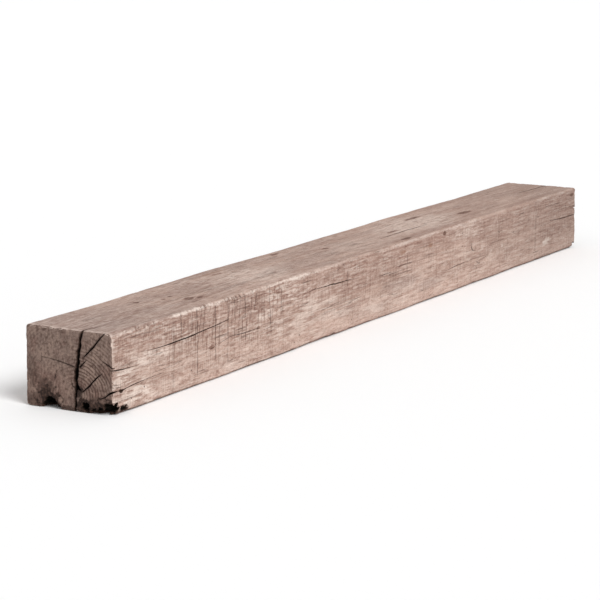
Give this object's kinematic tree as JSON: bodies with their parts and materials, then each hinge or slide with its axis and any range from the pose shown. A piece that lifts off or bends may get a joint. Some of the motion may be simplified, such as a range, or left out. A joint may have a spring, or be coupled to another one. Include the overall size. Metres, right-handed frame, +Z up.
{
  "type": "railway sleeper",
  "caption": "Used hardwood railway sleeper: a sawn rectangular timber, weathered, split at the ends, with worn rail seats and spike holes in its underside.",
  "frame": {"origin": "middle of the underside, on the level floor that the sleeper lies on", "axes": "+X along the sleeper, away from the rotten end; +Z up, across the smaller side of the section; +Y across the sleeper"},
  "size_m": [2.438, 0.229, 0.178],
  "materials": {
    "weathered_timber": "bare sawn hardwood, dry and weathered, matt"
  },
  "bodies": {
    "root": {"sleeper": "weathered_timber"}
  },
  "joints": []
}
